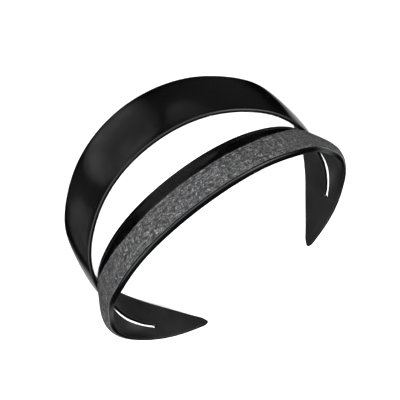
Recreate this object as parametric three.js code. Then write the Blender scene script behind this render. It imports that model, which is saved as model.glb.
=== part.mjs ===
// Volumizing headband: one moulded frame, whose two bands run together into two tapered legs,
// and a strip of glitter cloth seated round the outside of the front band.
// It lies on the level rear edge. Millimetres, +Z up; the crown points to -Y and the tips to +Y.
import * as THREE from "three";
import { mergeVertices } from "three/addons/utils/BufferGeometryUtils.js";

// The whole
const halfWidth = 66.5;
const tipAngle = 150;
const tipLift = 14.1;
const tipRound = 3.4;
const tipWallShare = 0.5;
const restAngle = 108;

// The two bands at the crown
const rearBandWidth = 37.4;
const bandGap = 25.2;
const frontBandRise = 33.7;
const rearWall = 1.8;
const frontWall = 2.6;
const legWall = 1.6;
const wallFadeStart = 75;
const wallFadeEnd = 108;
const rearBulge = 1.3;
const frontBulge = 2.6;
const legBulgeShare = 0.03;
const edgeEase = 0.45;

// The slit that parts the bands down each leg, and the round hole that ends it.
// The rear band stands a step inside the front one along it.
const seamWidth = 1.2;
const easeFadeAngle = 84;
const slitStartAngle = 105;
const slitEndAngle = 122.5;
const slitOpenAngle = 82;
const slitWideAngle = 97;
const slitWidth = 4;
const slitEndWidth = 2.6;
const slitStep = 1.35;
const slitStepFadeAngle = 100;
const reliefHole = 3.2;

// The cloth and its seat in the front band
const seatDepth = 0.8;
const lipWidth = 1;
const bareWidth = 19;
const bareAngle = 81;
const clothThickness = 1;
const clothGap = 0.3;
const clothEndAngle = 119;

// Sections from the crown to a tip, a tenth of the tip angle apart.
// The four edges' distances from the upright axis are shares of halfWidth, the widths shares of
// the widths at the crown, and the front band's bulge a share of frontBulge.
const sections = [
  { rearEdge: 1.055, rearInner: 1.036, frontInner: 1.002, frontEdge: 1.071,
    rear: 1, gap: 1, front: 1, bulge: 1 },
  { rearEdge: 1.051, rearInner: 1.031, frontInner: 0.998, frontEdge: 1.066,
    rear: 0.984, gap: 0.951, front: 0.991, bulge: 1 },
  { rearEdge: 1.043, rearInner: 1.012, frontInner: 0.986, frontEdge: 1.051,
    rear: 0.937, gap: 0.816, front: 0.965, bulge: 0.9 },
  { rearEdge: 1.032, rearInner: 0.990, frontInner: 0.968, frontEdge: 1.027,
    rear: 0.867, gap: 0.612, front: 0.925, bulge: 0.7 },
  { rearEdge: 1.028, rearInner: 0.982, frontInner: 0.957, frontEdge: 1.013,
    rear: 0.794, gap: 0.341, front: 0.858, bulge: 0.42 },
  { rearEdge: 0.998, rearInner: 0.973, frontInner: 0.958, frontEdge: 1.002,
    rear: 0.702, gap: 0.121, front: 0.745, bulge: 0.6 },
  { rearEdge: 0.977, rearInner: 0.986, frontInner: 0.982, frontEdge: 1.035,
    rear: 0.603, gap: 0.027, front: 0.577, bulge: 1.25 },
  { rearEdge: 0.962, rearInner: 1.018, frontInner: 1.014, frontEdge: 1.053,
    rear: 0.517, gap: 0, front: 0.403, bulge: 1.1 },
  { rearEdge: 0.957, rearInner: 1.021, frontInner: 1.021, frontEdge: 1.053,
    rear: 0.418, gap: 0, front: 0.249, bulge: 1 },
  { rearEdge: 0.966, rearInner: 1.013, frontInner: 1.013, frontEdge: 1.037,
    rear: 0.245, gap: 0, front: 0.142, bulge: 1 },
  { rearEdge: 1.007, rearInner: 1.004, frontInner: 1.004, frontEdge: 1.002,
    rear: 0.052, gap: 0, front: 0.026, bulge: 1 },
];

const { lerp, smoothstep, degToRad, radToDeg } = THREE.MathUtils;

// A smooth curve through evenly spaced values, level at its start.
function smoothCurve(values) {
  const last = values.length - 1;
  const bend = new Array(last + 1).fill(0);
  const ratio = [0.5];
  const rest = [3 * (values[1] - values[0])];
  for (let i = 1; i < last; i += 1) {
    const turn = values[i - 1] - 2 * values[i] + values[i + 1];
    ratio[i] = 1 / (4 - ratio[i - 1]);
    rest[i] = (6 * turn - rest[i - 1]) * ratio[i];
  }
  for (let i = last - 1; i >= 0; i -= 1) {
    bend[i] = rest[i] - ratio[i] * bend[i + 1];
  }
  return (place) => {
    const i = Math.min(Math.floor(place), last - 1);
    const b = place - i;
    const a = 1 - b;
    const bent = (a ** 3 - a) * bend[i] + (b ** 3 - b) * bend[i + 1];
    return a * values[i] + b * values[i + 1] + bent / 6;
  };
}

const curves = {};
for (const name of Object.keys(sections[0])) {
  curves[name] = smoothCurve(sections.map((row) => row[name]));
}

// An angle's place among the sections.
function placeOf(angle) {
  return (angle / tipAngle) * (sections.length - 1);
}

const holeAngle = radToDeg(reliefHole / 2 / halfWidth);
const seatWallAngle = radToDeg(clothGap / halfWidth);
const tipRoundAngle = radToDeg(tipRound / halfWidth);

// The slit's width: it opens out of the seam, narrows down the leg, opens into the round hole and
// is shut beyond it.
function slitAt(angle) {
  const along = degToRad(angle - slitEndAngle) * halfWidth;
  const hole = 2 * Math.sqrt(Math.max(0, (reliefHole / 2) ** 2 - along ** 2));
  return angle < slitEndAngle ? Math.max(slitTaper(angle), hole) : hole;
}

function slitTaper(angle) {
  const start = lerp(seamWidth, slitWidth, smoothstep(angle, slitOpenAngle, slitWideAngle));
  return lerp(start, slitEndWidth, smoothstep(angle, slitWideAngle, slitEndAngle));
}

// How far the rear band's edge stands inside the front band's along the slit.
function stepAt(angle) {
  const opens = smoothstep(angle, slitOpenAngle, slitWideAngle);
  return slitStep * opens * (1 - smoothstep(angle, slitStepFadeAngle, slitEndAngle + holeAngle));
}

// How far the two bands have become one wall: 0 above the slit and 1 below it.
function joined(angle) {
  return smoothstep(angle, slitStartAngle, slitEndAngle + holeAngle);
}

// The leg's end is round: what is left of its width.
function tipShare(angle) {
  const into = (angle - tipAngle + tipRoundAngle) / tipRoundAngle;
  return into > 0 ? Math.sqrt(Math.max(0, 1 - into ** 2)) : 1;
}

// The four edges of a section, as [distance from the axis, height].
function edgesAt(angle) {
  const place = placeOf(angle);
  const radius = (name) => halfWidth * curves[name](place);
  const lift = tipLift * (Math.max(0, angle - restAngle) / (tipAngle - restAngle)) ** 2;
  const gap = angle < slitStartAngle ? bandGap * Math.max(0, curves.gap(place)) : 0;
  const apart = gap + seamWidth;
  const opening = gap + slitAt(angle);
  const middle = lift + rearBandWidth * curves.rear(place) + apart / 2;
  const top = middle + apart / 2 + frontBandRise * curves.front(place);
  const centre = (lift + top) / 2;
  const share = tipShare(angle);
  const near = (height) => centre + (height - centre) * share;
  const one = joined(angle);
  const split = radius("frontInner");
  const inside = lerp(radius("rearInner"), split, one) - stepAt(angle);
  return {
    rearEdge: new THREE.Vector2(lerp(split, radius("rearEdge"), share), near(lift)),
    rearInner: new THREE.Vector2(inside, near(middle - opening / 2)),
    frontInner: new THREE.Vector2(split, near(middle + opening / 2)),
    frontEdge: new THREE.Vector2(lerp(split, radius("frontEdge"), share), near(top)),
  };
}

// A band's wall at one angle: point(along, depth) lies a share along its outer face from the lower
// edge to the upper one, and so many millimetres into the wall.
function wallBetween(low, high, lowNormal, highNormal, bulge) {
  const chord = high.clone().sub(low);
  const out = new THREE.Vector2(chord.y, -chord.x).normalize();
  const point = (along, depth) => {
    const normal = lowNormal.clone().lerp(highNormal, along).normalize();
    const raised = bulge * (1 - (2 * along - 1) ** 2);
    const face = low.clone().addScaledVector(chord, along).addScaledVector(out, raised);
    return face.addScaledVector(normal, -depth);
  };
  return { point, width: chord.length() };
}

function outwardOf(low, high) {
  return new THREE.Vector2(high.y - low.y, low.x - high.x).normalize();
}

// The two bands' walls at one angle, with their thicknesses: thinner down the legs, and thinnest
// at the round tips.
function wallsAt(angle) {
  const { rearEdge, rearInner, frontInner, frontEdge } = edgesAt(angle);
  const one = joined(angle);
  const share = tipShare(angle);
  const level = new THREE.Vector2(1, 0);
  const rearOut = outwardOf(rearEdge, rearInner);
  const frontOut = outwardOf(frontInner, frontEdge);
  const split = rearOut.clone().add(frontOut).normalize();
  const rearHigh = rearOut.clone().lerp(split, one);
  const frontLow = frontOut.clone().lerp(split, one);
  const frontHigh = frontOut.clone().lerp(level, one);
  const flatter = lerp(1, legBulgeShare, one) * share;
  const frontRound = frontBulge * curves.bulge(placeOf(angle)) * flatter;
  const thinner = smoothstep(angle, wallFadeStart, wallFadeEnd);
  const tip = lerp(tipWallShare, 1, share);
  return {
    rear: wallBetween(rearEdge, rearInner, level, rearHigh, rearBulge * flatter),
    front: wallBetween(frontInner, frontEdge, frontLow, frontHigh, frontRound),
    rearThick: lerp(rearWall, legWall, thinner) * tip,
    frontThick: lerp(frontWall, legWall, thinner) * tip,
  };
}

// The two bands' facing edges are eased only above the slit.
function innerEase(angle) {
  return edgeEase * (1 - smoothstep(angle, easeFadeAngle, slitStartAngle));
}

// An eased corner takes at most a fifth of a narrow wall and a third of a thin one.
function easeShare(ease, width) {
  return Math.min(ease / width, 1 / 5);
}

function easeDepth(ease, thick) {
  return Math.min(ease, thick / 3);
}

// The inner face is crossed in quarters, from its upper edge to its lower one.
function innerFace(wall) {
  return [3, 2, 1].map((quarter) => [quarter / 4, wall]);
}

function rearLoop(angle) {
  const { rear, rearThick: wall } = wallsAt(angle);
  const outer = easeShare(edgeEase, rear.width);
  const rim = easeDepth(edgeEase, wall);
  const inner = easeShare(innerEase(angle), rear.width);
  const ease = easeDepth(innerEase(angle), wall);
  return [
    [0, rim], [outer, 0], ...innerFace(0).reverse(), [1 - inner, 0], [1, ease],
    [1, wall - ease], [1 - inner, wall], ...innerFace(wall), [outer, wall], [0, wall - rim],
  ].map(([along, depth]) => rear.point(along, depth));
}

// Where the cloth's seat starts and ends across the front band, and how deep it is.
// On a narrow leg its lips keep to the wall.
function seatAt(angle, width) {
  const narrowing = Math.cos(degToRad(90 * Math.min(1, angle / bareAngle)));
  const bare = lipWidth + (bareWidth - lipWidth) * narrowing;
  return {
    low: Math.min(bare / width, 1 / 2),
    high: 1 - Math.min(lipWidth / width, 1 / 4),
    depth: seatDepth * (1 - smoothstep(angle, clothEndAngle, clothEndAngle + seatWallAngle)),
  };
}

function frontLoop(angle) {
  const { front, frontThick: wall } = wallsAt(angle);
  const seat = seatAt(angle, front.width);
  const step = (seat.high - seat.low) / 3;
  const outer = easeShare(edgeEase, front.width);
  const rim = easeDepth(edgeEase, wall);
  const inner = easeShare(innerEase(angle), front.width);
  const ease = easeDepth(innerEase(angle), wall);
  return [
    [0, ease], [inner, 0], [seat.low / 2, 0], [seat.low, 0], [seat.low, seat.depth],
    [seat.low + step, seat.depth], [seat.high - step, seat.depth], [seat.high, seat.depth],
    [seat.high, 0], [1 - outer, 0], [1, rim], [1, wall - rim], [1 - outer, wall],
    ...innerFace(wall), [inner, wall], [0, wall - ease],
  ].map(([along, depth]) => front.point(along, depth));
}

function clothLoop(angle) {
  const { front } = wallsAt(angle);
  const seat = seatAt(angle, front.width);
  const low = seat.low + clothGap / front.width;
  const high = seat.high - clothGap / front.width;
  const ease = clothThickness / 3;
  const under = seatDepth - clothGap;
  const top = under - clothThickness;
  const side = ease / front.width;
  const third = (high - low) / 3;
  return [
    [low, under], [low, top + ease], [low + side, top], [low + third, top], [high - third, top],
    [high - side, top], [high, top + ease], [high, under], [high - third, under],
    [low + third, under],
  ].map(([along, depth]) => front.point(along, depth));
}

// Closed skin round a run of sections, each of one or more loops. leftOut says which faces are
// left out because two loops have run together there.
function skin(angles, loopsAt, leftOut = () => false) {
  const positions = [];
  const faces = [];
  const rows = angles.map((angle) => {
    const turn = degToRad(angle);
    return loopsAt(Math.abs(angle)).map((loop) => loop.map((corner) => {
      positions.push(corner.x * Math.sin(turn), -corner.x * Math.cos(turn), corner.y);
      return positions.length / 3 - 1;
    }));
  });
  for (let row = 0; row + 1 < rows.length; row += 1) {
    rows[row].forEach((loop, which) => {
      const next = rows[row + 1][which];
      loop.forEach((corner, i) => {
        const j = (i + 1) % loop.length;
        if (!leftOut(which, i, Math.min(Math.abs(angles[row]), Math.abs(angles[row + 1])))) {
          faces.push([corner, loop[j], next[j]], [corner, next[j], next[i]]);
        }
      });
    });
  }
  for (const [end, flip] of [[rows[0], true], [rows[rows.length - 1], false]]) {
    for (const loop of end) {
      const flat = loop.map((corner) => {
        const [x, y, z] = positions.slice(3 * corner, 3 * corner + 3);
        return new THREE.Vector2(Math.hypot(x, y), z);
      });
      for (const [a, b, c] of THREE.ShapeUtils.triangulateShape(flat, [])) {
        faces.push(flip ? [loop[a], loop[c], loop[b]] : [loop[a], loop[b], loop[c]]);
      }
    }
  }
  return closedGeometry(positions, faces);
}

// Merges the corners that coincide, drops the faces that this flattens and turns all faces out.
function closedGeometry(positions, faces) {
  const loose = new THREE.BufferGeometry();
  loose.setAttribute("position", new THREE.Float32BufferAttribute(positions, 3));
  loose.setIndex(faces.flat());
  const merged = mergeVertices(loose, 0.001);
  const index = merged.getIndex().array;
  const kept = [];
  for (let i = 0; i < index.length; i += 3) {
    const [a, b, c] = index.slice(i, i + 3);
    if (a !== b && b !== c && c !== a) {
      kept.push(a, b, c);
    }
  }
  merged.setIndex(kept);
  if (signedVolume(merged) < 0) {
    for (let i = 0; i < kept.length; i += 3) {
      [kept[i], kept[i + 1]] = [kept[i + 1], kept[i]];
    }
    merged.setIndex(kept);
  }
  return merged;
}

function signedVolume(geometry) {
  const place = geometry.getAttribute("position");
  const index = geometry.getIndex().array;
  const corners = [new THREE.Vector3(), new THREE.Vector3(), new THREE.Vector3()];
  let volume = 0;
  for (let i = 0; i < index.length; i += 3) {
    corners.forEach((corner, k) => corner.fromBufferAttribute(place, index[i + k]));
    volume += corners[0].dot(corners[1].cross(corners[2])) / 6;
  }
  return volume;
}

function mirrored(angles) {
  const sorted = [...new Set(angles)].sort((a, b) => a - b);
  return [...sorted.slice(1).reverse().map((angle) => -angle), ...sorted];
}

function evenAngles(end, steps) {
  return Array.from({ length: steps + 1 }, (_, i) => (end * i) / steps);
}

// Rows of the skin: how many are plain, and where they lie across the round hole and the round tip.
const plainRows = 50;
const clothRows = 40;
const holeRows = [-0.9, -0.6, -0.25, 0.1, 0.45, 0.75, 0.93, 1];
const tipRows = [0, 0.35, 0.6, 0.8, 0.93, 0.99];

// Angles that follow the slit's round end, the end of the cloth's seat and the round tip.
function frameAngles() {
  const hole = holeRows.map((share) => slitEndAngle + holeAngle * share);
  const seatEnd = [clothEndAngle, clothEndAngle + seatWallAngle];
  const tip = tipRows.map((share) => tipAngle - tipRoundAngle * (1 - share));
  const fine = [...hole, ...seatEnd, ...tip];
  const clear = holeAngle / 2;
  const free = (angle) => fine.every((other) => Math.abs(angle - other) > clear);
  const plain = evenAngles(tip[0], plainRows).filter(free);
  return mirrored([...plain, ...fine]);
}

// The two bands' loops run together below the slit, where the walls that faced each other go.
function bandFrame() {
  const loops = (angle) => [rearLoop(angle), frontLoop(angle)];
  const facingWalls = [rearLoop(0).length / 2 - 1, frontLoop(0).length - 1];
  const shutAngle = slitEndAngle + holeAngle * 0.999;
  const shut = (which, corner, angle) => angle > shutAngle && corner === facingWalls[which];
  return skin(frameAngles(), loops, shut);
}

function glitterStrip() {
  const rows = mirrored(evenAngles(clothEndAngle - seatWallAngle, clothRows));
  return skin(rows, (angle) => [clothLoop(angle)]);
}

function mesh(name, geometry, colour, roughness) {
  const material = new THREE.MeshStandardMaterial({ color: colour, roughness, metalness: 0 });
  const piece = new THREE.Mesh(geometry, material);
  piece.name = name;
  return piece;
}

const headband = new THREE.Group();
headband.add(
  mesh("band_frame", bandFrame(), 0x141416, 0.2),
  mesh("glitter_strip", glitterStrip(), 0x48484a, 0.6),
);

// The origin is on the surface that it lies on, under the middle.
const box = new THREE.Box3().setFromObject(headband);
const middle = box.getCenter(new THREE.Vector3());
headband.position.set(-middle.x, -middle.y, -box.min.z);

export default headband;
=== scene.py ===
import math

import bpy
import numpy as np
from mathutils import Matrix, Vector


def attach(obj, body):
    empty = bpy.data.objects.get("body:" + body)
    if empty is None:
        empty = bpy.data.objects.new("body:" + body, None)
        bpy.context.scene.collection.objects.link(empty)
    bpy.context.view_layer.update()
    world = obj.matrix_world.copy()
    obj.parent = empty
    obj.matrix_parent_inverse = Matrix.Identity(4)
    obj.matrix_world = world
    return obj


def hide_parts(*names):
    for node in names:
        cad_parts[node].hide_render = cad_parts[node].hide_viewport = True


# A volumizing headband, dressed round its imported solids. Metres; the band lies on its rear edge,
# its crown to -Y, its tips to +Y and its front band on top.
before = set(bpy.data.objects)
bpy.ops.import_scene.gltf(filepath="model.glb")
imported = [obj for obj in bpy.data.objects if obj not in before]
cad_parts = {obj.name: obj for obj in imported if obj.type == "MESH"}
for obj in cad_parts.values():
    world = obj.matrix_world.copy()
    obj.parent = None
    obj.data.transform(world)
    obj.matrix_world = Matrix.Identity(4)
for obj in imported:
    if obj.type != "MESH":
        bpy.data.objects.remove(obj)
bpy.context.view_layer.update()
print("frame loaded")

mm = 0.001

# The frame's own sizes in millimetres and degrees, as in the solids
frameSizes = {
    "halfWidth": 66.5,
    "tipAngle": 150.0,
    "tipLift": 14.1,
    "tipRound": 3.4,
    "tipWallShare": 0.5,
    "restAngle": 108.0,
    "rearBandWidth": 37.4,
    "bandGap": 25.2,
    "frontBandRise": 33.7,
    "rearWall": 1.8,
    "frontWall": 2.6,
    "legWall": 1.6,
    "wallFadeStart": 75.0,
    "wallFadeEnd": 108.0,
    "rearBulge": 1.3,
    "frontBulge": 2.6,
    "legBulgeShare": 0.03,
    "rimRadius": 0.4,
    "outerRimRadius": 0.7,
    "lipRimRadius": 0.55,
    "slitRimRadius": 0.2,
    "rimsAcross": 5,  # so many rims fit across a narrow wall
    "rimsDeep": 2.2,  # and so many through a thin one
    "bareRimShare": 0.6,  # of the cloth's lip
    "sharpAngle": 38,
    "easeFadeAngle": 84.0,
    "slitStartAngle": 105.0,
    "slitEndAngle": 122.5,
    "seamWidth": 1.2,
    "slitWidth": 4.0,
    "slitOpenAngle": 82.0,
    "slitWideAngle": 97.0,
    "slitEndWidth": 2.6,
    "slitStep": 1.35,
    "slitStepFadeAngle": 100.0,
    "reliefHole": 3.2,
    "axisToMiddle": 7.3211,  # from the sections' axis to the middle of the solids' box
    "rowStep": 0.75,
}

# How finely the frame is drawn: points across its faces, and turns in degrees
frameSteps = {
    "corner": 4,
    "face": 9,
    "bare": 5,
    "seat": 7,
    "seatEnd": 3,
    "holeTurn": 10,
    "tipTurn": 6,
    "tipLastTurn": 84,
    "tipEnd": 0.002,  # share of the rounded tip that is left flat
    "clearParts": 10,  # plain sections stay the hole's radius over this clear of the fine ones
    "shutShare": 0.9995,  # share of the hole past which the two walls are one
    "mergeDigits": 4,  # corners that agree to so many digits of a millimetre are one
}

# The cloth and its seat, in millimetres and degrees
clothSizes = {
    "seatDepth": 0.8,
    "lipWidth": 1.0,
    "bareWidth": 19.0,
    "bareAngle": 81.0,
    "mostBareShare": 0.5,  # of the wall's width, on the narrow legs
    "mostLipShare": 0.25,
    "seatWall": 0.3,
    "thickness": 1.1,
    "underGap": 0.04,
    "edgeRound": 0.4,
    "edgeDrop": 0.3,
    "edgeLift": 0.02,  # clear of the band where it laps over the seat's edge
    "overlap": 0.16,
    "edgeGap": 0.06,
    "endAngle": 119.0,
    "cutWander": 0.22,
    "frontWanderShare": 0.4,
    "rowStep": 0.6,
    "across": 20,
    "acrossUnder": 6,
    "acrossForFlakes": 44,
    "roundTurns": (5, 25, 45, 67),
    "sharpAngle": 50,
}

# The waves that a cut edge of the cloth wanders in: pace in radians per millimetre, and start
cutWaves = ((0.31, 1.7), (0.83, 0.4), (1.9, 2.6), (3.7, 5.1))
cutWavesTotal = 1.6  # their sum is divided by this
frontCutStart = 1.3  # the front edge starts elsewhere in its waves

# Sections from the crown to a tip, a tenth of the tip angle apart: distances from the upright axis
# as shares of halfWidth, widths as shares of those at the crown, and the bulge as one of frontBulge
sectionNames = ("rearEdge", "rearInner", "frontInner", "frontEdge", "rear", "gap", "front", "bulge")
sectionRows = [
    (1.055, 1.036, 1.002, 1.071, 1.000, 1.000, 1.000, 1.00),
    (1.051, 1.031, 0.998, 1.066, 0.984, 0.951, 0.991, 1.00),
    (1.043, 1.012, 0.986, 1.051, 0.937, 0.816, 0.965, 0.90),
    (1.032, 0.990, 0.968, 1.027, 0.867, 0.612, 0.925, 0.70),
    (1.028, 0.982, 0.957, 1.013, 0.794, 0.341, 0.858, 0.42),
    (0.998, 0.973, 0.958, 1.002, 0.702, 0.121, 0.745, 0.60),
    (0.977, 0.986, 0.982, 1.035, 0.603, 0.027, 0.577, 1.25),
    (0.962, 1.018, 1.014, 1.053, 0.517, 0.000, 0.403, 1.10),
    (0.957, 1.021, 1.021, 1.053, 0.418, 0.000, 0.249, 1.00),
    (0.966, 1.013, 1.013, 1.037, 0.245, 0.000, 0.142, 1.00),
    (1.007, 1.004, 1.004, 1.002, 0.052, 0.000, 0.026, 1.00),
]


def lerp(a, b, share):
    return a + (b - a) * share


def smoothstep(value, low, high):
    share = min(1.0, max(0.0, (value - low) / (high - low)))
    return share * share * (3 - 2 * share)


def smoothCurve(values):
    # a smooth curve through evenly spaced values, level at its start
    last = len(values) - 1
    bend = [0.0] * (last + 1)
    ratio = [0.5]
    rest = [3 * (values[1] - values[0])]
    for i in range(1, last):
        turn = values[i - 1] - 2 * values[i] + values[i + 1]
        ratio.append(1 / (4 - ratio[i - 1]))
        rest.append((6 * turn - rest[i - 1]) * ratio[i])
    for i in range(last - 1, -1, -1):
        bend[i] = rest[i] - ratio[i] * bend[i + 1]

    def value(at):
        i = min(int(math.floor(at)), last - 1)
        b = at - i
        a = 1 - b
        bent = ((a ** 3 - a) * bend[i] + (b ** 3 - b) * bend[i + 1]) / 6
        return a * values[i] + b * values[i + 1] + bent

    return value


curves = {name: smoothCurve([row[i] for row in sectionRows]) for i, name in enumerate(sectionNames)}
holeAngle = math.degrees(frameSizes["reliefHole"] / 2 / frameSizes["halfWidth"])
seatWallAngle = math.degrees(clothSizes["seatWall"] / frameSizes["halfWidth"])
tipRoundAngle = math.degrees(frameSizes["tipRound"] / frameSizes["halfWidth"])


def slitTaper(angle):
    # the slit opens out of the seam between the bands and narrows down the leg
    s = frameSizes
    opened = smoothstep(angle, s["slitOpenAngle"], s["slitWideAngle"])
    narrowed = smoothstep(angle, s["slitWideAngle"], s["slitEndAngle"])
    return lerp(lerp(s["seamWidth"], s["slitWidth"], opened), s["slitEndWidth"], narrowed)


def slitAt(angle):
    # the slit's width, with the round hole at its end
    s = frameSizes
    along = math.radians(angle - s["slitEndAngle"]) * s["halfWidth"]
    hole = 2 * math.sqrt(max(0.0, (s["reliefHole"] / 2) ** 2 - along ** 2))
    return max(slitTaper(angle), hole) if angle < s["slitEndAngle"] else hole


def joined(angle):
    # 0 above the slit, 1 where the two bands are one wall
    return smoothstep(angle, frameSizes["slitStartAngle"], frameSizes["slitEndAngle"] + holeAngle)


def tipShare(angle):
    # 1 along the leg, down to 0 where its tip is rounded off
    into = (angle - frameSizes["tipAngle"] + tipRoundAngle) / tipRoundAngle
    return math.sqrt(max(0.0, 1 - into ** 2)) if into > 0 else 1.0


def sectionAt(angle):
    # where an angle lies in the table of sections
    return angle / frameSizes["tipAngle"] * (len(sectionRows) - 1)


def edgesAt(angle):
    # the four edges of a section, as (distance from the axis, height)
    s = frameSizes
    at = sectionAt(angle)
    radius = {name: s["halfWidth"] * curves[name](at) for name in sectionNames[:4]}
    lift = s["tipLift"] * (max(0.0, angle - s["restAngle"]) / (s["tipAngle"] - s["restAngle"])) ** 2
    gap = s["bandGap"] * max(0.0, curves["gap"](at)) if angle < s["slitStartAngle"] else 0.0
    apart = gap + s["seamWidth"]
    opening = gap + slitAt(angle)
    middle = lift + s["rearBandWidth"] * curves["rear"](at) + apart / 2
    top = middle + apart / 2 + s["frontBandRise"] * curves["front"](at)
    centre = (lift + top) / 2
    share = tipShare(angle)
    split = radius["frontInner"]
    step = s["slitStep"] * smoothstep(angle, s["slitOpenAngle"], s["slitWideAngle"])
    step *= 1 - smoothstep(angle, s["slitStepFadeAngle"], s["slitEndAngle"] + holeAngle)

    def edge(distance, height):
        return np.array([distance, centre + (height - centre) * share])

    return {
        "rearEdge": edge(lerp(split, radius["rearEdge"], share), lift),
        "rearInner": edge(lerp(radius["rearInner"], split, joined(angle)) - step, middle - opening / 2),
        "frontInner": edge(split, middle + opening / 2),
        "frontEdge": edge(lerp(split, radius["frontEdge"], share), top),
    }


def unit(vector):
    return vector / np.linalg.norm(vector)


def outwardOf(low, high):
    # square to a section's wall, away from the head
    return unit(np.array([high[1] - low[1], low[0] - high[0]]))


class Wall:
    # a band's wall at one angle: point(along, depth) lies a share along its outer face and so deep
    def __init__(self, low, high, lowNormal, highNormal, bulge):
        self.low = low
        self.chord = high - low
        self.width = float(np.linalg.norm(self.chord))
        self.out = outwardOf(low, high)
        self.lowNormal = lowNormal
        self.highNormal = highNormal
        self.bulge = bulge

    def point(self, along, depth):
        normal = unit(self.lowNormal + (self.highNormal - self.lowNormal) * along)
        raised = self.bulge * (1 - (2 * along - 1) ** 2)
        return self.low + self.chord * along + self.out * raised - normal * depth


def wallsAt(angle):
    # the rear and the front wall at an angle, and how thick each is
    s = frameSizes
    edges = edgesAt(angle)
    one = joined(angle)
    level = np.array([1.0, 0.0])
    rearOut = outwardOf(edges["rearEdge"], edges["rearInner"])
    frontOut = outwardOf(edges["frontInner"], edges["frontEdge"])
    split = unit(rearOut + frontOut)
    flatter = lerp(1.0, s["legBulgeShare"], one) * tipShare(angle)
    rear = Wall(edges["rearEdge"], edges["rearInner"], level, lerp(rearOut, split, one),
                s["rearBulge"] * flatter)
    frontRound = s["frontBulge"] * curves["bulge"](sectionAt(angle)) * flatter
    front = Wall(edges["frontInner"], edges["frontEdge"], lerp(frontOut, split, one),
                 lerp(frontOut, level, one), frontRound)
    thinner = smoothstep(angle, s["wallFadeStart"], s["wallFadeEnd"])
    tip = lerp(s["tipWallShare"], 1.0, tipShare(angle))
    rearThick = lerp(s["rearWall"], s["legWall"], thinner) * tip
    frontThick = lerp(s["frontWall"], s["legWall"], thinner) * tip
    return rear, front, rearThick, frontThick


def cornerArc(wall, atHigh, atInner, thick, radius):
    # a rounded corner of a wall, from its face to its edge; it shrinks on a narrow or thin wall
    across = min(radius, wall.width / frameSizes["rimsAcross"])
    deep = min(radius, thick / frameSizes["rimsDeep"])
    steps = frameSteps["corner"]
    points = []
    for i in range(steps + 1):
        turn = math.radians(90 * i / steps)
        along = (1 - math.sin(turn)) * across / wall.width
        depth = (1 - math.cos(turn)) * deep
        points.append((1 - along if atHigh else along, thick - depth if atInner else depth))
    return points


def between(low, high, count):
    # evenly spaced places strictly between two ends
    return [lerp(low, high, (i + 1) / (count + 1)) for i in range(count)]


def innerRim(angle):
    # how round the edges along the gap and the slit are
    s = frameSizes
    sharper = smoothstep(angle, s["easeFadeAngle"], s["slitStartAngle"])
    shut = smoothstep(angle, s["slitEndAngle"], s["slitEndAngle"] + holeAngle)
    return lerp(s["rimRadius"], s["slitRimRadius"], sharper) * (1 - shut)


class Loop:
    # a section's outline: its points, and the kind of face that starts at each
    def __init__(self, wall):
        self.wall = wall
        self.points = []
        self.kinds = []

    def add(self, places, kind):
        self.points += [self.wall.point(along, depth) for along, depth in places]
        self.kinds += [kind] * len(places)


def rearLoop(angle):
    # outer face upwards, over the upper edge, down the inner face and round the lower edge
    wall, _, thick, _ = wallsAt(angle)
    rim = frameSizes["rimRadius"]
    outerShare = frameSizes["outerRimRadius"] / rim
    inner = innerRim(angle)
    lowOuter = cornerArc(wall, False, False, thick, rim)
    highOuter = cornerArc(wall, True, False, thick, inner * outerShare)
    highInner = cornerArc(wall, True, True, thick, inner)
    lowInner = cornerArc(wall, False, True, thick, rim)
    count = frameSteps["face"]
    loop = Loop(wall)
    loop.add(lowOuter[::-1], "outer")
    loop.add([(a, 0.0) for a in between(lowOuter[0][0], highOuter[0][0], count)], "outer")
    loop.add(highOuter, "outer")
    loop.kinds[-1] = "facing"
    loop.add(highInner[::-1], "inner")
    loop.add([(a, thick) for a in between(highInner[0][0], lowInner[0][0], count)], "inner")
    loop.add(lowInner, "inner")
    loop.kinds[-1] = "rim"
    return loop


def seatAt(angle, width):
    # where the cloth's seat starts and ends, as shares of the wall's width, and its depth
    c = clothSizes
    turn = math.radians(90 * min(1.0, angle / c["bareAngle"]))
    bare = c["lipWidth"] + (c["bareWidth"] - c["lipWidth"]) * math.cos(turn)
    low = min(bare / width, c["mostBareShare"])
    high = 1 - min(c["lipWidth"] / width, c["mostLipShare"])
    depth = c["seatDepth"] * (1 - smoothstep(angle, c["endAngle"], c["endAngle"] + seatWallAngle))
    return low, high, depth


def frontLoop(angle):
    # as the rear loop, with the cloth's seat in the outer face
    _, wall, _, thick = wallsAt(angle)
    rim = frameSizes["rimRadius"]
    inner = innerRim(angle)
    low, high, depth = seatAt(angle, wall.width)
    bareRim = min(inner, clothSizes["lipWidth"] * frameSizes["bareRimShare"])
    lowOuter = cornerArc(wall, False, False, thick, bareRim)
    highOuter = cornerArc(wall, True, False, thick, frameSizes["lipRimRadius"])
    highInner = cornerArc(wall, True, True, thick, rim)
    lowInner = cornerArc(wall, False, True, thick, inner)
    loop = Loop(wall)
    loop.add(lowOuter[::-1], "outer")
    loop.add([(a, 0.0) for a in between(lowOuter[0][0], low, frameSteps["bare"])], "outer")
    loop.add([(low, 0.0), (low, depth)], "seat")
    loop.add([(a, depth) for a in between(low, high, frameSteps["seat"])], "seat")
    loop.add([(high, depth)], "seat")
    loop.add([(high, 0.0)], "outer")
    loop.add(highOuter, "outer")
    loop.kinds[-1] = "rim"
    loop.add(highInner[::-1], "inner")
    loop.add([(a, thick) for a in between(highInner[0][0], lowInner[0][0], frameSteps["face"])], "inner")
    loop.add(lowInner, "inner")
    loop.kinds[-1] = "facing"
    return loop


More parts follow.
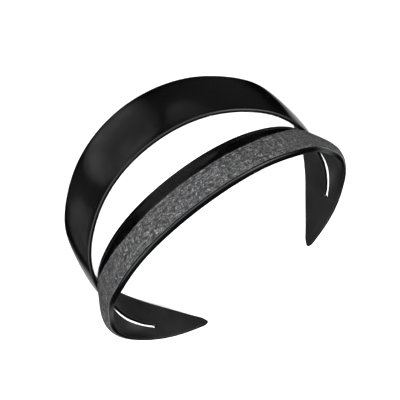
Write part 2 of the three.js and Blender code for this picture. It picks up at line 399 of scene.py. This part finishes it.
def frameAngles():
    # the sections' angles from tip to tip, closer at the slit's hole, the seat's end and the tips
    s = frameSizes
    f = frameSteps
    holeTurns = range(-90, 91, f["holeTurn"])
    hole = [s["slitEndAngle"] + holeAngle * math.sin(math.radians(turn)) for turn in holeTurns]
    seatEnd = [clothSizes["endAngle"] + seatWallAngle * i / f["seatEnd"] for i in range(f["seatEnd"] + 1)]
    tipTurns = range(0, f["tipLastTurn"] + 1, f["tipTurn"])
    tip = [s["tipAngle"] - tipRoundAngle * (1 - math.sin(math.radians(turn))) for turn in tipTurns]
    tip.append(s["tipAngle"] - tipRoundAngle * f["tipEnd"])
    fine = hole + seatEnd + tip
    count = int(round(tip[0] / s["rowStep"]))
    plain = [tip[0] * i / count for i in range(count)]
    clear = holeAngle / f["clearParts"]
    plain = [angle for angle in plain if all(abs(angle - other) > clear for other in fine)]
    ahead = sorted(set(plain + fine))
    return [-angle for angle in ahead[:0:-1]] + ahead


def turned(corner, angle):
    # a section's corner, turned round the upright axis
    turn = math.radians(angle)
    return (corner[0] * math.sin(turn), -corner[0] * math.cos(turn), corner[1])


def plainMesh(name, positions, faces, finishes):
    # merges the corners that coincide and drops the faces that this flattens
    exact = np.array(positions)
    rounded = np.round(exact, frameSteps["mergeDigits"])
    _, first, index = np.unique(rounded, axis=0, return_index=True, return_inverse=True)
    kept = exact[first]
    index = index.reshape(-1)
    polygons = []
    for face, finish in zip(faces, finishes):
        corners = []
        for corner in face:
            spot = int(index[corner])
            if spot not in corners:
                corners.append(spot)
        if len(corners) > 2:
            polygons.append((corners, finish))
    mesh = bpy.data.meshes.new(name)
    mesh.from_pydata([tuple(p) for p in kept * mm], [], [corners for corners, _ in polygons])
    mesh.polygons.foreach_set("material_index", [finish for _, finish in polygons])
    mesh.update()
    return mesh


def finishObject(name, mesh, materials, sharpAngle):
    piece = bpy.data.objects.new(name, mesh)
    bpy.context.scene.collection.objects.link(piece)
    for material in materials:
        mesh.materials.append(material)
    mesh.shade_smooth()
    mesh.set_sharp_from_angle(angle=math.radians(sharpAngle))
    return piece


def settle(positions):
    # from the axis of the sections to the solids' origin, under the middle of their box
    return np.array(positions) + np.array([0.0, frameSizes["axisToMiddle"], 0.0])


def buildFrame(materials):
    # the first material is the outside's, the second the inside's
    angles = frameAngles()
    shutAngle = frameSizes["slitEndAngle"] + holeAngle * frameSteps["shutShare"]
    positions = []
    rows = []
    for angle in angles:
        row = []
        for loop in (rearLoop(abs(angle)), frontLoop(abs(angle))):
            row.append((len(positions), loop.kinds))
            positions += [turned(corner, angle) for corner in loop.points]
        rows.append(row)
    faces = []
    finishes = []
    for i in range(len(rows) - 1):
        nearest = min(abs(angles[i]), abs(angles[i + 1]))
        for (start, kinds), (following, _) in zip(rows[i], rows[i + 1]):
            count = len(kinds)
            for k in range(count):
                if kinds[k] == "facing" and nearest >= shutAngle:
                    continue
                j = (k + 1) % count
                faces.append((start + k, start + j, following + j, following + k))
                finishes.append(1 if kinds[k] == "inner" else 0)
    for row, flip in ((rows[0], True), (rows[-1], False)):
        for start, kinds in row:
            ring = list(range(start, start + len(kinds)))
            faces.append(tuple(ring if flip else ring[::-1]))
            finishes.append(0)
    mesh = plainMesh("bandFrameFine", settle(positions), faces, finishes)
    return finishObject("band_frame_fine", mesh, materials, frameSizes["sharpAngle"])


def cutWander(angle, isFront):
    # how far the cut edge of the cloth wanders, in millimetres
    arc = math.radians(angle) * frameSizes["halfWidth"]
    shift = frontCutStart if isFront else 0.0
    waves = [math.sin(arc * pace + start + shift) / (1 + k) for k, (pace, start) in enumerate(cutWaves)]
    return clothSizes["cutWander"] * sum(waves) / cutWavesTotal


def clothSection(signedAngle):
    # the wall the cloth lies on, its places across in the seat, and those of its outer face
    c = clothSizes
    angle = abs(signedAngle)
    _, wall, _, _ = wallsAt(angle)
    low, high, _ = seatAt(angle, wall.width)
    gap = c["edgeGap"] / wall.width
    rearOver = (c["overlap"] + cutWander(signedAngle, False)) / wall.width
    frontOver = (c["overlap"] + cutWander(signedAngle, True) * c["frontWanderShare"]) / wall.width
    return wall, low + gap, high - gap, low - max(0.0, rearOver), high + max(0.0, frontOver)


def clothAngles():
    end = clothSizes["endAngle"] - math.degrees(clothSizes["edgeGap"] / frameSizes["halfWidth"])
    count = int(round(2 * end / clothSizes["rowStep"]))
    return [lerp(-end, end, i / count) for i in range(count + 1)]


def clothHeights():
    # depths of the cloth's under side and of its outer face, in its seat and a little proud of it
    c = clothSizes
    under = c["seatDepth"] - c["underGap"]
    return under, under - c["thickness"]


def clothOutline(signedAngle):
    # one section of the cloth: up out of its seat, over the rounded cut edges and back underneath
    c = clothSizes
    under, top = clothHeights()
    drop = c["edgeDrop"]
    rise = -c["edgeLift"]
    wall, low, high, lowTop, highTop = clothSection(signedAngle)
    ease = c["edgeRound"] / wall.width
    turns = [math.radians(turn) for turn in c["roundTurns"]]
    rounding = [(1 - math.cos(turn), 1 - math.sin(turn)) for turn in turns]
    count = c["across"]
    countUnder = c["acrossUnder"]
    loop = [(low, under), (low, rise), (lowTop, rise)]
    loop += [(lowTop + ease * side, top + drop * down) for side, down in rounding]
    loop += [(lerp(lowTop + ease, highTop - ease, i / count), top) for i in range(count + 1)]
    loop += [(highTop - ease * side, top + drop * down) for side, down in rounding[::-1]]
    loop += [(highTop, rise), (high, rise), (high, under)]
    loop += [(lerp(high, low, i / countUnder), under) for i in range(1, countUnder)]
    return [wall.point(along, depth) for along, depth in loop]


def buildCloth(material):
    positions = []
    starts = []
    for signedAngle in clothAngles():
        outline = clothOutline(signedAngle)
        starts.append(len(positions))
        positions += [turned(corner, signedAngle) for corner in outline]
    count = len(outline)
    faces = []
    for start, following in zip(starts, starts[1:]):
        for k in range(count):
            j = (k + 1) % count
            faces.append((start + k, start + j, following + j, following + k))
    faces.append(tuple(range(starts[0], starts[0] + count)))
    faces.append(tuple(range(starts[-1], starts[-1] + count))[::-1])
    mesh = plainMesh("glitterClothFine", settle(positions), faces, [0] * len(faces))
    return finishObject("glitter_cloth_fine", mesh, [material], clothSizes["sharpAngle"])


def clothSurface():
    # the cloth's outer face alone, for scattering on, with its rows as an attribute
    _, top = clothHeights()
    across = clothSizes["acrossForFlakes"]
    positions = []
    rowPlace = []
    angles = clothAngles()
    for signedAngle in angles:
        wall, _, _, lowTop, highTop = clothSection(signedAngle)
        inset = clothSizes["edgeRound"] / wall.width
        for i in range(across + 1):
            along = lerp(lowTop + inset, highTop - inset, i / across)
            positions.append(turned(wall.point(along, top), signedAngle))
            rowPlace.append((1 - along) * wall.width * mm)
    faces = []
    for row in range(len(angles) - 1):
        for i in range(across):
            a = row * (across + 1) + i
            faces.append((a, a + across + 1, a + across + 2, a + 1))
    mesh = bpy.data.meshes.new("flakeSurface")
    mesh.from_pydata([tuple(p) for p in settle(positions) * mm], [], faces)
    mesh.attributes.new("rowPlace", "FLOAT", "POINT").data.foreach_set("value", rowPlace)
    mesh.update()
    return mesh


def addNode(tree, kind, **values):
    node = tree.nodes.new(kind)
    for name, value in values.items():
        setattr(node, name, value)
    return node


def feed(tree, target, source):
    # links a socket, or sets a plain value
    if isinstance(source, bpy.types.NodeSocket):
        tree.links.new(source, target)
    else:
        target.default_value = source


def mathNode(tree, operation, *sources, clamped=False):
    node = addNode(tree, "ShaderNodeMath", operation=operation, use_clamp=clamped)
    for target, source in zip(node.inputs, sources):
        feed(tree, target, source)
    return node.outputs[0]


# The glitter: thin hexagons, pressed into the cloth at slightly different tilts. Metres and radians.
flakeSettings = {
    "Flake size": 0.00058,
    "Smallest share": 0.65,
    "Largest share": 1.15,
    "Flakes per square metre": 3.4e6,
    "Tilt": 0.3,
    "Lift": 0.00005,
    "Row spacing": 0.0017,
    "Row strength": 0.8,
    "Seed": 7,
}
flakeCorners = 6


def flakeDensity(tree, given):
    # more flakes along soft rows that follow the band
    rowPlace = addNode(tree, "GeometryNodeInputNamedAttribute", data_type="FLOAT")
    rowPlace.inputs["Name"].default_value = "rowPlace"
    rows = mathNode(tree, "DIVIDE", rowPlace.outputs["Attribute"], given.outputs["Row spacing"])
    wave = mathNode(tree, "SINE", mathNode(tree, "MULTIPLY", rows, 2 * math.pi))
    share = mathNode(tree, "MULTIPLY_ADD", wave, given.outputs["Row strength"], 1.0)
    return mathNode(tree, "MULTIPLY", share, given.outputs["Flakes per square metre"])


def flakeShape(tree, given):
    flake = addNode(tree, "GeometryNodeMeshCircle", fill_type="NGON")
    flake.inputs["Vertices"].default_value = flakeCorners
    feed(tree, flake.inputs["Radius"], mathNode(tree, "MULTIPLY", given.outputs["Flake size"], 0.5))
    return flake.outputs["Mesh"]


def flakeTurns(tree, given, upright):
    # each flake leans up to the tilt either way and is turned at random on the cloth
    lowest = addNode(tree, "ShaderNodeCombineXYZ")
    highest = addNode(tree, "ShaderNodeCombineXYZ")
    otherWay = mathNode(tree, "MULTIPLY", given.outputs["Tilt"], -1.0)
    for axis in "XY":
        feed(tree, lowest.inputs[axis], otherWay)
        feed(tree, highest.inputs[axis], given.outputs["Tilt"])
    highest.inputs["Z"].default_value = math.pi
    tilt = addNode(tree, "FunctionNodeRandomValue", data_type="FLOAT_VECTOR")
    feed(tree, tilt.inputs[0], lowest.outputs[0])
    feed(tree, tilt.inputs[1], highest.outputs[0])
    feed(tree, tilt.inputs["Seed"], given.outputs["Seed"])
    asRotation = addNode(tree, "FunctionNodeEulerToRotation")
    feed(tree, asRotation.inputs[0], tilt.outputs[0])
    tilted = addNode(tree, "FunctionNodeRotateRotation", rotation_space="LOCAL")
    feed(tree, tilted.inputs[0], upright)
    feed(tree, tilted.inputs[1], asRotation.outputs[0])
    return tilted.outputs[0]


def flakeScales(tree, given):
    scale = addNode(tree, "FunctionNodeRandomValue", data_type="FLOAT")
    feed(tree, scale.inputs[2], given.outputs["Smallest share"])
    feed(tree, scale.inputs[3], given.outputs["Largest share"])
    feed(tree, scale.inputs["Seed"], given.outputs["Seed"])
    return scale.outputs[1]


def lifted(tree, given, instances):
    # moves the flakes out of the cloth a little
    offset = addNode(tree, "ShaderNodeCombineXYZ")
    feed(tree, offset.inputs["Z"], given.outputs["Lift"])
    lift = addNode(tree, "GeometryNodeTranslateInstances")
    lift.inputs["Local Space"].default_value = True
    feed(tree, lift.inputs[0], instances)
    feed(tree, lift.inputs["Translation"], offset.outputs[0])
    return lift.outputs[0]


def toned(tree, flakes):
    # gives each flake a tone of its own for its material
    tone = addNode(tree, "FunctionNodeRandomValue", data_type="FLOAT")
    shade = addNode(tree, "GeometryNodeStoreNamedAttribute", data_type="FLOAT", domain="FACE")
    shade.inputs["Name"].default_value = "flakeTone"
    feed(tree, shade.inputs["Geometry"], flakes)
    feed(tree, shade.inputs["Value"], tone.outputs[1])
    return shade.outputs[0]


def flakeTree(finish):
    tree = bpy.data.node_groups.new("glitterFlakes", "GeometryNodeTree")
    tree.interface.new_socket("Geometry", in_out="INPUT", socket_type="NodeSocketGeometry")
    for name, value in flakeSettings.items():
        kind = "NodeSocketInt" if name == "Seed" else "NodeSocketFloat"
        tree.interface.new_socket(name, in_out="INPUT", socket_type=kind).default_value = value
    tree.interface.new_socket("Geometry", in_out="OUTPUT", socket_type="NodeSocketGeometry")
    given = addNode(tree, "NodeGroupInput")
    result = addNode(tree, "NodeGroupOutput")

    scatter = addNode(tree, "GeometryNodeDistributePointsOnFaces", distribute_method="RANDOM")
    feed(tree, scatter.inputs["Mesh"], given.outputs["Geometry"])
    feed(tree, scatter.inputs["Density"], flakeDensity(tree, given))
    feed(tree, scatter.inputs["Seed"], given.outputs["Seed"])

    laid = addNode(tree, "GeometryNodeInstanceOnPoints")
    feed(tree, laid.inputs["Points"], scatter.outputs["Points"])
    feed(tree, laid.inputs["Instance"], flakeShape(tree, given))
    feed(tree, laid.inputs["Rotation"], flakeTurns(tree, given, scatter.outputs["Rotation"]))
    feed(tree, laid.inputs["Scale"], flakeScales(tree, given))

    whole = addNode(tree, "GeometryNodeRealizeInstances")
    feed(tree, whole.inputs[0], lifted(tree, given, laid.outputs[0]))
    painted = addNode(tree, "GeometryNodeSetMaterial")
    painted.inputs["Material"].default_value = finish
    feed(tree, painted.inputs["Geometry"], toned(tree, whole.outputs[0]))
    feed(tree, result.inputs["Geometry"], painted.outputs[0])
    return tree


def buildFlakes(finish):
    source = bpy.data.objects.new("flakeSource", clothSurface())
    bpy.context.scene.collection.objects.link(source)
    tree = flakeTree(finish)
    modifier = source.modifiers.new("glitterFlakes", "NODES")
    modifier.node_group = tree
    for item in tree.interface.items_tree:
        if item.item_type == "SOCKET" and item.in_out == "INPUT" and item.name in flakeSettings:
            modifier[item.identifier] = flakeSettings[item.name]
    bpy.context.view_layer.update()
    evaluated = source.evaluated_get(bpy.context.evaluated_depsgraph_get())
    mesh = bpy.data.meshes.new_from_object(evaluated)
    mesh.name = "glitterFlakes"
    source.modifiers.clear()
    bpy.data.objects.remove(source)
    flakes = bpy.data.objects.new("glitter_flakes", mesh)
    bpy.context.scene.collection.objects.link(flakes)
    if not mesh.materials:
        mesh.materials.append(finish)
    return flakes


def newMaterial(name):
    material = bpy.data.materials.new(name)
    material.use_nodes = True
    tree = material.node_tree
    return material, tree, tree.nodes["Principled BSDF"]


def unevenGroup():
    # soft unevenness at one scale, as a mask from 0 to 1 for colour, gloss or height
    tree = bpy.data.node_groups.new("unevenSurface", "ShaderNodeTree")
    tree.interface.new_socket("Scale", in_out="INPUT", socket_type="NodeSocketFloat").default_value = 40
    tree.interface.new_socket("Contrast", in_out="INPUT", socket_type="NodeSocketFloat").default_value = 1
    tree.interface.new_socket("Mask", in_out="OUTPUT", socket_type="NodeSocketFloat")
    given = addNode(tree, "NodeGroupInput")
    result = addNode(tree, "NodeGroupOutput")
    where = addNode(tree, "ShaderNodeTexCoord")
    noise = addNode(tree, "ShaderNodeTexNoise")
    noise.inputs["Detail"].default_value = 3
    feed(tree, noise.inputs["Vector"], where.outputs["Object"])
    feed(tree, noise.inputs["Scale"], given.outputs["Scale"])
    centred = mathNode(tree, "SUBTRACT", noise.outputs["Fac"], 0.5)
    mask = mathNode(tree, "MULTIPLY_ADD", centred, given.outputs["Contrast"], 0.5, clamped=True)
    feed(tree, result.inputs["Mask"], mask)
    return tree


uneven = unevenGroup()


def unevenMask(tree, scale, contrast):
    node = addNode(tree, "ShaderNodeGroup", node_tree=uneven)
    node.inputs["Scale"].default_value = scale
    node.inputs["Contrast"].default_value = contrast
    return node.outputs["Mask"]


def ranged(tree, mask, low, high):
    node = addNode(tree, "ShaderNodeMapRange")
    node.inputs["To Min"].default_value = low
    node.inputs["To Max"].default_value = high
    feed(tree, node.inputs["Value"], mask)
    return node.outputs["Result"]


def twoColours(tree, mask, first, second):
    # sockets 6, 7 and 2 are the colour ones
    node = addNode(tree, "ShaderNodeMix", data_type="RGBA")
    feed(tree, node.inputs[0], mask)
    node.inputs[6].default_value = (*first, 1)
    node.inputs[7].default_value = (*second, 1)
    return node.outputs[2]


def embossed(tree, height, strength, depth):
    bump = addNode(tree, "ShaderNodeBump")
    bump.inputs["Strength"].default_value = strength
    bump.inputs["Distance"].default_value = depth
    feed(tree, bump.inputs["Height"], height)
    return bump.outputs["Normal"]


# Moulded black plastic, polished: the outside of the band. The soft pale clouds in its base colour are
# painted reflection.
glossSettings = {
    "dark": (0.0012, 0.0012, 0.0013),
    "pale": (0.003, 0.003, 0.0032),
    "roughLow": 0.04,
    "roughHigh": 0.12,
    "cloudScale": 26,
    "cloudContrast": 2.6,
    "waveScale": 60,
    "waveContrast": 1.0,
    "waveStrength": 0.5,
    "waveDepth": 0.00018,
    "specular": 0.4,
}


def glossPlastic():
    g = glossSettings
    material, tree, shader = newMaterial("glossBlackPlastic")
    clouds = unevenMask(tree, g["cloudScale"], g["cloudContrast"])
    waves = unevenMask(tree, g["waveScale"], g["waveContrast"])
    # painted reflection: soft pale clouds in the base colour; the same clouds also vary the roughness,
    # which is real
    feed(tree, shader.inputs["Base Color"], twoColours(tree, clouds, g["dark"], g["pale"]))
    feed(tree, shader.inputs["Roughness"], ranged(tree, clouds, g["roughLow"], g["roughHigh"]))
    feed(tree, shader.inputs["Normal"], embossed(tree, waves, g["waveStrength"], g["waveDepth"]))
    shader.inputs["Specular IOR Level"].default_value = g["specular"]
    return material


# The same plastic, finely frosted: the inside of the band
satinSettings = {
    "dark": (0.0055, 0.0055, 0.0057),
    "pale": (0.0095, 0.0095, 0.0098),
    "roughLow": 0.42,
    "roughHigh": 0.56,
    "cloudScale": 70,
    "cloudContrast": 2.0,
    "grainScale": 2600,
    "grainContrast": 1.4,
    "grainStrength": 0.25,
    "grainDepth": 0.00006,
    "specular": 0.24,
}


def satinPlastic():
    s = satinSettings
    material, tree, shader = newMaterial("satinBlackPlastic")
    clouds = unevenMask(tree, s["cloudScale"], s["cloudContrast"])
    grain = unevenMask(tree, s["grainScale"], s["grainContrast"])
    feed(tree, shader.inputs["Base Color"], twoColours(tree, clouds, s["dark"], s["pale"]))
    feed(tree, shader.inputs["Roughness"], ranged(tree, clouds, s["roughLow"], s["roughHigh"]))
    feed(tree, shader.inputs["Normal"], embossed(tree, grain, s["grainStrength"], s["grainDepth"]))
    shader.inputs["Specular IOR Level"].default_value = s["specular"]
    return material


# The mottled grey cloth that carries the glitter
clothSettings = {
    "dark": (0.018, 0.018, 0.0183),
    "pale": (0.074, 0.074, 0.0755),
    "grainScale": 620,
    "grainContrast": 3.4,
    "grainStrength": 0.6,
    "grainDepth": 0.00025,
    "roughness": 0.85,
    "specular": 0.08,
}


def clothBacking():
    c = clothSettings
    material, tree, shader = newMaterial("glitterClothBacking")
    grain = unevenMask(tree, c["grainScale"], c["grainContrast"])
    feed(tree, shader.inputs["Base Color"], twoColours(tree, grain, c["dark"], c["pale"]))
    feed(tree, shader.inputs["Normal"], embossed(tree, grain, c["grainStrength"], c["grainDepth"]))
    shader.inputs["Roughness"].default_value = c["roughness"]
    shader.inputs["Specular IOR Level"].default_value = c["specular"]
    return material


# The flakes: mostly dull, a few pale, and paler in clumps
flakeFinish = {
    "dark": (0.02, 0.02, 0.0205),
    "pale": (0.3, 0.3, 0.306),
    "tonePower": 1.6,
    "clumpScale": 620,
    "clumpContrast": 3.6,
    "clumpLow": 0.2,
    "metallic": 0.12,
    "specular": 0.2,
    "roughness": 0.34,
}


def flakeMetal():
    f = flakeFinish
    material, tree, shader = newMaterial("greyGlitterFlake")
    tone = addNode(tree, "ShaderNodeAttribute", attribute_name="flakeTone")
    clump = ranged(tree, unevenMask(tree, f["clumpScale"], f["clumpContrast"]), f["clumpLow"], 1.0)
    clumped = mathNode(tree, "MULTIPLY", tone.outputs["Fac"], clump)
    fewPale = mathNode(tree, "POWER", clumped, f["tonePower"])
    feed(tree, shader.inputs["Base Color"], twoColours(tree, fewPale, f["dark"], f["pale"]))
    shader.inputs["Metallic"].default_value = f["metallic"]
    shader.inputs["Specular IOR Level"].default_value = f["specular"]
    shader.inputs["Roughness"].default_value = f["roughness"]
    return material


# The pale floor, in metres
floorSettings = {
    "dark": (0.9, 0.9, 0.9),
    "pale": (0.92, 0.92, 0.92),
    "grainScale": 12,
    "grainContrast": 0.6,
    "roughness": 0.9,
    "specular": 0.1,
    "reach": 6.0,
    "height": -0.0002,
}


def floorPaper():
    f = floorSettings
    material, tree, shader = newMaterial("paleFloor")
    grain = unevenMask(tree, f["grainScale"], f["grainContrast"])
    feed(tree, shader.inputs["Base Color"], twoColours(tree, grain, f["dark"], f["pale"]))
    shader.inputs["Roughness"].default_value = f["roughness"]
    shader.inputs["Specular IOR Level"].default_value = f["specular"]
    return material


def buildFloor():
    reach = floorSettings["reach"]
    mesh = bpy.data.meshes.new("paleFloor")
    sides = ((-1, -1), (1, -1), (1, 1), (-1, 1))
    corners = [(reach * x, reach * y, floorSettings["height"]) for x, y in sides]
    mesh.from_pydata(corners, [], [(0, 1, 2, 3)])
    floor = bpy.data.objects.new("pale_floor", mesh)
    bpy.context.scene.collection.objects.link(floor)
    mesh.materials.append(floorPaper())
    floor.visible_glossy = False  # the plastic mirrors the studio instead


# Soft studio light: name, place, width, power and whether the plastic mirrors it
studioLights = [
    ("overheadSoftbox", (0.1, -0.15, 1.3), 0.9, 28, False),
    ("frontSoftbox", (0.1, -1.0, 0.9), 0.7, 17, False),
    ("leftSoftbox", (1.1, -0.2, 0.8), 0.8, 1, True),
    ("rightSoftbox", (-1.1, 0.1, 0.8), 0.8, 4.5, True),
]
lightsAim = (0, 0, 0.04)


def addLights():
    for name, place, width, power, mirrored in studioLights:
        data = bpy.data.lights.new(name, "AREA")
        data.shape = "RECTANGLE"
        data.size = width
        data.size_y = width
        data.energy = power
        light = bpy.data.objects.new(name, data)
        light.location = place
        light.rotation_euler = (Vector(lightsAim) - Vector(place)).to_track_quat("-Z", "Y").to_euler()
        light.visible_glossy = mirrored
        bpy.context.scene.collection.objects.link(light)
    bpy.context.scene.world = studioWorld()


# What the room shows: pale to the eye and to the light it sheds, dark where the plastic mirrors it.
# Mirrored, it has a pale strip round the walls, a paler floor far behind, and the soft pale areas below.
# The spans are where each part fades, along the sight line's share of Y or Z.
worldSettings = {
    "light": 0.62,
    "cloudScale": 2.6,
    "cloudDetail": 3,
    "cloudSpan": (0.38, 0.66),
    "cloudLow": 0.45,
    "faint": 0.05,
    "faintLowSpan": (-0.94, -0.84),
    "faintHighSpan": (-0.3, 0.0),
    "faintFarSpan": (0.1, 0.28),
    "behind": 0.75,
    "behindNearSpan": (0.42, 0.56),
    "behindLowSpan": (-0.85, -0.79),
    "behindHighSpan": (-0.55, -0.25),
    "strip": 3.0,
    "stripLowSpan": (-0.1, 0.15),
    "stripLean": 0.6,
    "stripHighSpan": (0.75, 0.95),
    "stripFarSpan": (0.5, 0.68),
}

# Soft pale areas that the plastic mirrors: direction, its edge and core as cosines, strength
mirroredAreas = [
    ((0.25, -0.60, -0.76), (0.86, 0.97), 0.75),
    ((0.76, 0.10, -0.64), (0.95, 0.985), 0.35),
    ((-0.50, -0.62, -0.60), (0.95, 0.985), 0.35),
    ((0.01, -0.05, -1.00), (0.973, 0.98), 0.21),
]


def fade(tree, source, span, first, second):
    # a soft step over a span, from one value to another
    node = addNode(tree, "ShaderNodeMapRange", interpolation_type="SMOOTHSTEP")
    for name, value in zip(("From Min", "From Max", "To Min", "To Max"), (*span, first, second)):
        node.inputs[name].default_value = value
    feed(tree, node.inputs["Value"], source)
    return node.outputs["Result"]


def product(tree, first, *others):
    for other in others:
        first = mathNode(tree, "MULTIPLY", first, other)
    return first


def faintLight(tree, across, up):
    # hardly any light, from below the horizon and the near side
    w = worldSettings
    rising = fade(tree, up, w["faintLowSpan"], 0.0, w["faint"])
    notHigh = fade(tree, up, w["faintHighSpan"], 1.0, 0.0)
    near = fade(tree, across, w["faintFarSpan"], 1.0, 0.0)
    return product(tree, rising, notHigh, near)


def cloudedArea(tree, direction, span, strength, sight, clouds):
    towards = addNode(tree, "ShaderNodeVectorMath", operation="DOT_PRODUCT")
    feed(tree, towards.inputs[0], sight)
    towards.inputs[1].default_value = Vector(direction).normalized()
    return product(tree, fade(tree, towards.outputs["Value"], span, 0.0, strength), clouds)


def floorBehind(tree, across, up):
    w = worldSettings
    far = fade(tree, across, w["behindNearSpan"], 0.0, w["behind"])
    notHigh = fade(tree, up, w["behindHighSpan"], 1.0, 0.0)
    notBelow = fade(tree, up, w["behindLowSpan"], 0.0, 1.0)
    return product(tree, far, notHigh, notBelow)


def wallStrip(tree, across, up):
    w = worldSettings
    above = fade(tree, up, w["stripLowSpan"], 0.0, w["strip"])
    leaning = mathNode(tree, "MULTIPLY_ADD", across, w["stripLean"], up)
    under = fade(tree, leaning, w["stripHighSpan"], 1.0, 0.0)
    near = fade(tree, across, w["stripFarSpan"], 1.0, 0.0)
    return product(tree, above, under, near)


def studioWorld():
    w = worldSettings
    world = bpy.data.worlds.new("paleRoom")
    world.use_nodes = True
    tree = world.node_tree
    where = addNode(tree, "ShaderNodeTexCoord")
    sight = where.outputs["Generated"]
    axes = addNode(tree, "ShaderNodeSeparateXYZ")
    feed(tree, axes.inputs[0], sight)
    across = axes.outputs["Y"]
    up = axes.outputs["Z"]
    noise = addNode(tree, "ShaderNodeTexNoise")
    noise.inputs["Scale"].default_value = w["cloudScale"]
    noise.inputs["Detail"].default_value = w["cloudDetail"]
    feed(tree, noise.inputs["Vector"], sight)
    clouds = fade(tree, noise.outputs["Fac"], w["cloudSpan"], w["cloudLow"], 1.0)
    seen = faintLight(tree, across, up)
    for direction, span, strength in mirroredAreas:
        area = cloudedArea(tree, direction, span, strength, sight, clouds)
        seen = mathNode(tree, "MAXIMUM", seen, area)
    for part in (wallStrip(tree, across, up), floorBehind(tree, across, up)):
        seen = mathNode(tree, "MAXIMUM", seen, part)
    room = tree.nodes["Background"]
    room.inputs["Color"].default_value = (1, 1, 1, 1)
    room.inputs["Strength"].default_value = w["light"]
    mirrored = addNode(tree, "ShaderNodeBackground")
    feed(tree, mirrored.inputs["Strength"], seen)
    ray = addNode(tree, "ShaderNodeLightPath")
    either = addNode(tree, "ShaderNodeMixShader")
    feed(tree, either.inputs[0], ray.outputs["Is Glossy Ray"])
    feed(tree, either.inputs[1], room.outputs[0])
    feed(tree, either.inputs[2], mirrored.outputs[0])
    feed(tree, tree.nodes["World Output"].inputs["Surface"], either.outputs[0])
    return world


# The camera, fitted to the photo: metres, degrees and millimetres of lens and sensor
cameraSettings = {
    "place": (-0.0002, -0.33205, 0.4473),
    "turns": (-31.195, -21.656, 149.007),
    "lens": 98.94,
    "sensor": 36,
    "far": 20,
}


def addCamera():
    c = cameraSettings
    data = bpy.data.cameras.new("photoCamera")
    data.lens = c["lens"]
    data.sensor_width = c["sensor"]
    data.clip_end = c["far"]
    camera = bpy.data.objects.new("photoCamera", data)
    camera.location = c["place"]
    camera.rotation_euler = [math.radians(turn) for turn in c["turns"]]
    bpy.context.scene.collection.objects.link(camera)
    bpy.context.scene.camera = camera
    bpy.context.scene.view_settings.view_transform = "Standard"


addCamera()
band = buildFrame([glossPlastic(), satinPlastic()])
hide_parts("band_frame")
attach(band, "root")
print("frame built:", len(band.data.polygons), "faces")

cloth = buildCloth(clothBacking())
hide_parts("glitter_strip")
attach(cloth, "root")
print("cloth built:", len(cloth.data.polygons), "faces")

flakes = buildFlakes(flakeMetal())
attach(flakes, "root")
print("flakes built:", len(flakes.data.polygons))

buildFloor()
addLights()
print("floor and lights placed")
